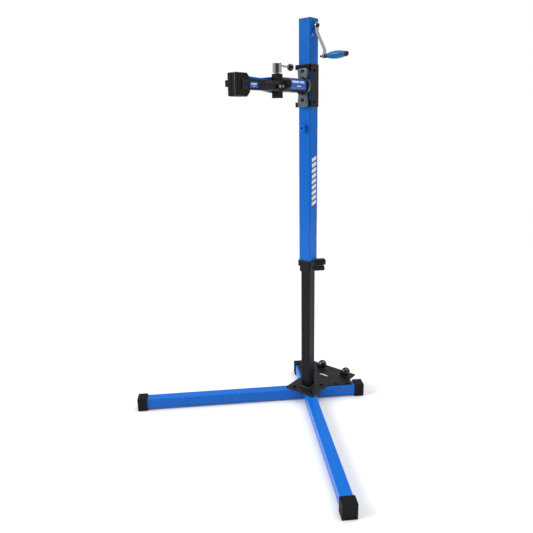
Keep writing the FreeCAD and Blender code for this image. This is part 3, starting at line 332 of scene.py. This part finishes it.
class StageSettings(bpy.types.PropertyGroup):
    """Floor, lights and lens."""
    floor: FloatVectorProperty(
        name="Floor", description="Colour of the floor", default=linear("#f7f7f7"),
        subtype="COLOR", size=3, min=0, max=1)
    glow: FloatProperty(
        name="Floor glow", description="Light the floor gives of its own",
        default=0.03, min=0, max=5)
    key: FloatProperty(
        name="Key light", description="Strength of the soft light from the front left",
        default=1.9, min=0)
    top: FloatProperty(
        name="Top light", description="Strength of the soft light from above", default=1.4, min=0)
    room: FloatProperty(
        name="Room light", description="Light from the walls all round", default=0.55, min=0, max=5)
    lens: FloatProperty(
        name="Lens", description="Focal length of the camera", default=34.49, min=10, max=200)


# ---- operators -----------------------------------------------------------

class STAND_OT_finishes(bpy.types.Operator):
    """Gives every metal, rubber and plastic node its finish"""
    bl_idname = "stand.finishes"
    bl_label = "Finishes"

    def execute(self, context):
        made_here = finishes(context.scene.stand)
        for slot, mat in made_here.items():
            mat["slot_name"] = slot
        for part in frame["record"]["subparts"]:
            obj = frame["nodes"][part["node"]]
            mat = made_here[part["material_slot"]]
            for slot in obj.material_slots:
                slot.material = mat
        return {"FINISHED"}


class STAND_OT_ball_knobs(bpy.types.Operator):
    """Moulds the ball knobs of the cam lever and the two lever nuts"""
    bl_idname = "stand.ball_knobs"
    bl_label = "Ball knobs"

    def execute(self, context):
        seam = context.scene.stand.seam
        self.knob("cam_ball", "cam_knob_moulded", "cam", middle("cam_barrel"), seam)
        for side in ("left", "right"):
            hub = middle("lever_hub_" + side)
            self.knob("lever_ball_" + side, "lever_knob_moulded_" + side, "lever_" + side[0],
                      hub, seam)
        return {"FINISHED"}

    def knob(self, node, name, body, hub, seam):
        """Ball with a seam round its waist and a flared throat towards its hub."""
        centre = middle(node)
        radius = max(span(node)) / 2
        axis = centre - hub
        if node == "cam_ball":
            # The cam rod lies almost level.
            axis.z = -0.002
        axis.normalize()
        profile = []
        steps = 44
        for i in range(steps + 1):
            turn = math.pi * (0.06 + 0.94 * i / steps)
            off = abs(turn - math.pi / 2)
            dip = seam * math.exp(-(off / 0.03) ** 2)
            reach = radius - dip
            profile.append((-reach * math.cos(turn), max(reach * math.sin(turn), radius * 0.004)))
        start, throat = profile[0]
        flare = [(start - 0.0012, throat * 2.2), (start - 0.0006, throat * 1.5)]
        piece(name, lathe(flare + profile, centre, axis, 72), body, "gloss_black", [node])


class STAND_OT_hand_grip(bpy.types.Operator):
    """Turns the crowned hand grip with its end rings and mould seam"""
    bl_idname = "stand.hand_grip"
    bl_label = "Hand grip"

    def execute(self, context):
        seam = context.scene.stand.seam
        low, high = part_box("grip")
        low, high = Vector(low), Vector(high)
        long = high.x - low.x
        crown = (high.z - low.z) / 2
        centre = Vector((low.x, (low.y + high.y) / 2, (low.z + high.z) / 2))
        shape = ((0.0, 0.6), (0.03, 0.7), (0.1, 0.78), (0.2, 0.88), (0.35, 0.97), (0.5, 1.0),
                 (0.65, 0.975), (0.8, 0.88), (0.92, 0.75), (1.0, 0.67))
        profile = []
        steps = 70
        for i in range(steps + 1):
            t = i / steps
            for (t0, r0), (t1, r1) in zip(shape, shape[1:]):
                if t0 <= t <= t1:
                    u = (t - t0) / (t1 - t0)
                    u = u * u * (3 - 2 * u)
                    radius = r0 + (r1 - r0) * u
            for ring in (0.07, 0.93):
                radius -= seam / crown * 1.6 * math.exp(-((t - ring) / 0.008) ** 2)
            profile.append((t * long, radius * crown * 0.995))
        bm = lathe(profile, centre, Vector((1, 0, 0)), 72)
        for vert in bm.verts:
            off = abs(vert.co.y - centre.y)
            dip = seam * 0.5 * math.exp(-(off / 0.0006) ** 2)
            vert.co.z -= math.copysign(dip, vert.co.z - centre.z)
        piece("hand_grip_crowned", bm, "hand_grip", "blue_plastic", ["grip"])
        return {"FINISHED"}


class STAND_OT_weld_beads(bpy.types.Operator):
    """Lays the weld beads round the mast's foot and the accessory boss"""
    bl_idname = "stand.weld_beads"
    bl_label = "Weld beads"

    def execute(self, context):
        settings = context.scene.stand
        axis = mast_axis()
        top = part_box("base_plate")[1][2]
        bead_inset = 0.0042
        bead_lift = 0.0018
        half = span("inner_mast").x / 2 - bead_inset
        foot = []
        per_side = 90
        for k in range(4):
            turn = Matrix.Rotation(math.pi / 2 * k, 3, "Z")
            for i in range(per_side):
                t = -half + 2 * half * i / per_side
                foot.append(axis + turn @ Vector((half, t, 0)) + Vector((0, 0, top + bead_lift)))
        self.bead("mast_foot_weld", foot, axis, settings, "base", "gloss_black")
        low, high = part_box("accessory_boss")
        centre = middle("accessory_boss")
        wall = high[1]
        sink = 0.0012
        radius = (high[0] - low[0]) / 2 - sink
        ring = []
        steps = 160
        for i in range(steps):
            turn = 2 * math.pi * i / steps
            ring.append(Vector((centre.x + radius * math.cos(turn), wall - sink,
                                centre.z + radius * math.sin(turn))))
        self.bead("boss_weld", ring, centre, settings, "upper", "blue_paint")
        return {"FINISHED"}

    def bead(self, name, path, centre, settings, body, slot):
        """Rippled bead along a closed path."""
        rings = []
        count = len(path)
        along = 0.0
        for i in range(count):
            ahead = (path[(i + 1) % count] - path[i - 1]).normalized()
            out = path[i] - centre
            out = (out - ahead * out.dot(ahead)).normalized()
            up = ahead.cross(out)
            ripple = 0.5 + 0.5 * math.sin(along * settings.ripples * 10 * 2 * math.pi)
            radius = settings.bead * (0.82 + 0.12 * ripple + 0.06 * noise.noise(path[i] * 300))
            rings.append([path[i] + (out * math.cos(a) + up * math.sin(a)) * radius
                          for a in (2 * math.pi * k / 12 for k in range(12))])
            along += (path[(i + 1) % count] - path[i]).length
        rings.append(rings[0])
        bm = skin(rings, capped=False)
        bmesh.ops.remove_doubles(bm, verts=bm.verts, dist=1e-6)
        piece(name, bm, body, slot, crease=80)


class STAND_OT_arm_root(bpy.types.Operator):
    """Forges the arm's root: round at the disc, squared off into the block"""
    bl_idname = "stand.arm_root"
    bl_label = "Arm root"

    def execute(self, context):
        low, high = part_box("arm_root")
        block_low, block_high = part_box("clamp_block")
        shaft = middle("clamp_shaft")
        start, end = high[1], low[1]
        radius = 0.0285
        half = (block_high[0] - block_low[0]) / 2
        flare = (high[2] - low[2]) / 2
        stations = ((0.0, flare, flare, 2.0), (0.015, flare * 0.985, flare * 0.985, 2.0),
                    (0.035, radius * 1.05, radius * 1.05, 2.0), (0.06, radius, radius, 2.0),
                    (0.4, radius, radius, 2.05), (0.74, radius, radius, 2.1),
                    (0.84, radius * 0.93, radius, 2.5), (0.93, half * 1.2, radius * 0.97, 3.2),
                    (0.985, half * 0.99, radius * 0.93, 4.5), (1.0, half * 0.94, radius * 0.9, 4.5))
        rings = []
        for t, wide, tall, power in stations:
            y = start + (end - start) * t
            ring = []
            for i in range(96):
                turn = 2 * math.pi * i / 96
                c, s = math.cos(turn), math.sin(turn)
                x = math.copysign(abs(c) ** (2 / power), c) * wide
                z = math.copysign(abs(s) ** (2 / power), s) * tall
                ring.append(Vector((shaft.x + x, y, shaft.z + z)))
            rings.append(ring)
        piece("arm_root_forged", skin(rings), "clamp", "gloss_black_paint", ["arm_root"])
        return {"FINISHED"}


class STAND_OT_jaw_backing(bpy.types.Operator):
    """Presses the steel plate between the near pad and its shell"""
    bl_idname = "stand.jaw_backing"
    bl_label = "Jaw backing"

    def execute(self, context):
        low, high = (Vector(c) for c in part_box("near_pad"))
        proud = 0.0012
        x0, x1 = high.x - 0.0014, high.x + 0.0012
        corner = 0.004
        outline = []
        y0, y1 = low.y - proud * 0.4, high.y + proud
        z0, z1 = low.z - proud, high.z + proud
        for cy, cz, start in ((y1 - corner, z1 - corner, 0), (y0 + corner, z1 - corner, 90),
                              (y0 + corner, z0 + corner, 180), (y1 - corner, z0 + corner, 270)):
            for k in range(7):
                turn = math.radians(start + 15 * k)
                outline.append((cy + corner * math.cos(turn), cz + corner * math.sin(turn)))
        middle_y = sum(y for y, z in outline) / len(outline)
        middle_z = sum(z for y, z in outline) / len(outline)
        rings = []
        for x, inset in ((x0, 0.0005), (x0 + 0.0004, 0.0), (x1 - 0.0004, 0.0), (x1, 0.0005)):
            rings.append([Vector((x, y - math.copysign(inset, y - middle_y),
                                  z - math.copysign(inset, z - middle_z)))
                          for y, z in outline])
        piece("near_jaw_backing", skin(rings), "near_jaw", "grey_casting")
        return {"FINISHED"}


class STAND_OT_decals(bpy.types.Operator):
    """Prints the plain mast decal and the bars on the arm's two labels"""
    bl_idname = "stand.decals"
    bl_label = "Decals"

    def execute(self, context):
        count = context.scene.stand.bar_count
        low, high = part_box("mast_stripe")
        low, high = Vector(low), Vector(high)
        pitch = (high.z - low.z) / count
        for name, grow, lift, slot, nodes in (
                ("mast_decal_outline", 0.0016, 0.0001, "label_dark", []),
                ("mast_decal_bars", 0.0, 0.0002, "label_white", ["mast_stripe"])):
            bm = bmesh.new()
            for i in range(count):
                foot = low.z + pitch * (i + 0.1)
                head = foot + pitch * 0.66
                slant = 0.010
                y0, y1 = low.y + 0.003 - grow, high.y - 0.003 + grow
                x = low.x + lift
                corners = [(x, y0, foot - grow), (x, y1, foot + slant - grow),
                           (x, y1, head + slant + grow), (x, y0, head + grow)]
                verts = [bm.verts.new(c) for c in corners]
                face = bm.faces.new(verts)
                bmesh.ops.extrude_face_region(bm, geom=[face])
                bm.verts.ensure_lookup_table()
                for vert in bm.verts[-4:]:
                    vert.co.x += 0.00008
            bmesh.ops.recalc_face_normals(bm, faces=bm.faces)
            piece(name, bm, "upper", slot, nodes)
        self.root_bars()
        self.small_bars()
        return {"FINISHED"}

    def root_bars(self):
        """Three plain white bars that follow the round label."""
        low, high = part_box("arm_label")
        shaft = middle("clamp_shaft")
        radius = high[0] - shaft.x + 0.00005
        bm = bmesh.new()
        bars = ((0.10, 0.40, 15, 33), (0.46, 0.92, 15, 33), (0.36, 0.64, -14, -6))
        for start, end, a0, a1 in bars:
            rows = []
            for j in range(9):
                turn = math.radians(a0 + (a1 - a0) * j / 8)
                rows.append([bm.verts.new((shaft.x + radius * math.cos(turn),
                                           high[1] + (low[1] - high[1]) * t,
                                           shaft.z + radius * math.sin(turn)))
                             for t in (start, end)])
            for one, two in zip(rows, rows[1:]):
                bm.faces.new((one[0], one[1], two[1], two[0]))
        piece("arm_label_bars", bm, "clamp", "label_white")

    def small_bars(self):
        """Two plain white bars on the flat label."""
        low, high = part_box("near_label")
        bm = bmesh.new()
        x = high[0] + 0.00005
        for t0, t1, u0, u1 in ((0.16, 0.84, 0.55, 0.78), (0.34, 0.66, 0.22, 0.32)):
            y0, y1 = low[1] + (high[1] - low[1]) * t0, low[1] + (high[1] - low[1]) * t1
            z0, z1 = low[2] + (high[2] - low[2]) * u0, low[2] + (high[2] - low[2]) * u1
            corners = ((x, y0, z0), (x, y1, z0), (x, y1, z1), (x, y0, z1))
            bm.faces.new([bm.verts.new(c) for c in corners])
        piece("near_label_bars", bm, "near_jaw", "label_white")


class STAND_OT_stage(bpy.types.Operator):
    """Sets the floor, the soft lights and the camera"""
    bl_idname = "stand.stage"
    bl_label = "Stage"

    def execute(self, context):
        stage = context.scene.stand_stage
        scene = context.scene
        floor_mat = finish("painted_studio_floor", stage.floor, 0.9, mottle=(900, 0.01),
                           grain=(3.0, 0.01), haze=(300, 0.03), edge=(0.1, "#ffffff", 0.0))
        bm = bmesh.new()
        bmesh.ops.create_grid(bm, x_segments=24, y_segments=24, size=FLOOR_HALF)
        mesh = bpy.data.meshes.new("floor")
        bm.to_mesh(mesh)
        bm.free()
        shader = next(n for n in floor_mat.node_tree.nodes if n.type == "BSDF_PRINCIPLED")
        shader.inputs["Emission Color"].default_value = (1, 1, 1, 1)
        shader.inputs["Emission Strength"].default_value = stage.glow
        floor = bpy.data.objects.new("floor", mesh)
        scene.collection.objects.link(floor)
        mesh.materials.append(floor_mat)
        scene.view_settings.view_transform = "Standard"
        self.room(scene, stage.room)
        self.soft_sun("key_softbox", Vector(KEY_FROM), stage.key, KEY_SPREAD)
        self.soft_sun("top_softbox", Vector(TOP_FROM), stage.top, TOP_SPREAD)
        self.camera(scene, stage.lens)
        return {"FINISHED"}

    def room(self, scene, strength):
        """White paper behind the stand; bright walls to its sides and a dim one in front."""
        world = bpy.data.worlds.new("studio")
        scene.world = world
        world.use_nodes = True
        tree = world.node_tree
        tree.nodes.clear()
        way = add(tree, "ShaderNodeTexCoord").outputs["Generated"]
        front = add(tree, "ShaderNodeVectorMath",
                    {"operation": "DOT_PRODUCT", 1: (0.62, -0.74, -0.25)}, {0: way})
        walls = add(tree, "ShaderNodeMapRange",
                    {"From Min": 0.35, "From Max": 0.85, "To Min": strength,
                     "To Max": strength * 0.12},
                    {"Value": front.outputs["Value"]})
        lit = add(tree, "ShaderNodeBackground", {"Color": (1, 1, 1, 1)},
                  {"Strength": walls.outputs["Result"]})
        paper = add(tree, "ShaderNodeBackground", {"Color": (1, 1, 1, 1), "Strength": 1.0})
        seen = add(tree, "ShaderNodeLightPath").outputs["Is Camera Ray"]
        both = add(tree, "ShaderNodeMixShader", {},
                   {0: seen, 1: lit.outputs[0], 2: paper.outputs[0]})
        add(tree, "ShaderNodeOutputWorld", {}, {"Surface": both.outputs[0]})

    def soft_sun(self, name, source, strength, spread):
        """Light from one direction that looks as wide as a softbox."""
        data = bpy.data.lights.new(name, "SUN")
        data.energy = strength
        data.angle = math.radians(spread)
        light = bpy.data.objects.new(name, data)
        light.location = mast_axis() + source * 3
        light.rotation_mode = "QUATERNION"
        light.rotation_quaternion = (-source).to_track_quat("-Z", "Y")
        bpy.context.scene.collection.objects.link(light)

    def camera(self, scene, lens):
        """Camera to the right front of the stand, a little below its clamp."""
        data = bpy.data.cameras.new("camera")
        data.lens = lens
        data.sensor_width = 36
        camera = bpy.data.objects.new("camera", data)
        turn = math.radians(CAMERA_TURN)
        dip = math.radians(CAMERA_DIP)
        roll = math.radians(CAMERA_ROLL)
        away = Vector((-math.sin(turn) * math.cos(dip), math.cos(turn) * math.cos(dip),
                       -math.sin(dip)))
        right = Vector((math.cos(turn), math.sin(turn), 0))
        up = right.cross(away)
        across = right * math.cos(roll) + up * math.sin(roll)
        over = up * math.cos(roll) - right * math.sin(roll)
        basis = Matrix((across, over, -away)).transposed().to_4x4()
        basis.translation = mast_axis() + Vector(CAMERA_PLACE)
        camera.matrix_world = basis
        scene.collection.objects.link(camera)
        scene.camera = camera


class STAND_PT_panel(bpy.types.Panel):
    """Lists the stand's pieces and its settings"""
    bl_idname = "STAND_PT_panel"
    bl_label = "Bike repair stand"
    bl_space_type = "VIEW_3D"
    bl_region_type = "UI"
    bl_category = "Stand"

    def draw(self, context):
        for settings in (context.scene.stand, context.scene.stand_stage):
            for name in settings.__annotations__:
                self.layout.prop(settings, name)
        for operator in OPERATORS:
            self.layout.operator(operator.bl_idname)


OPERATORS = (
    STAND_OT_finishes,
    STAND_OT_ball_knobs,
    STAND_OT_hand_grip,
    STAND_OT_weld_beads,
    STAND_OT_arm_root,
    STAND_OT_jaw_backing,
    STAND_OT_decals,
    STAND_OT_stage,
)
CLASSES = (StandSettings, StageSettings, *OPERATORS, STAND_PT_panel)


def register():
    for cls in CLASSES:
        bpy.utils.register_class(cls)
    bpy.types.Scene.stand = PointerProperty(type=StandSettings)
    bpy.types.Scene.stand_stage = PointerProperty(type=StageSettings)


def unregister():
    del bpy.types.Scene.stand_stage
    del bpy.types.Scene.stand
    for cls in reversed(CLASSES):
        bpy.utils.unregister_class(cls)


def main():
    register()
    bpy.ops.stand.finishes()
    bpy.ops.stand.ball_knobs()
    bpy.ops.stand.hand_grip()
    bpy.ops.stand.weld_beads()
    bpy.ops.stand.arm_root()
    bpy.ops.stand.jaw_backing()
    bpy.ops.stand.decals()
    bpy.ops.stand.stage()


if __name__ == "__main__":
    main()
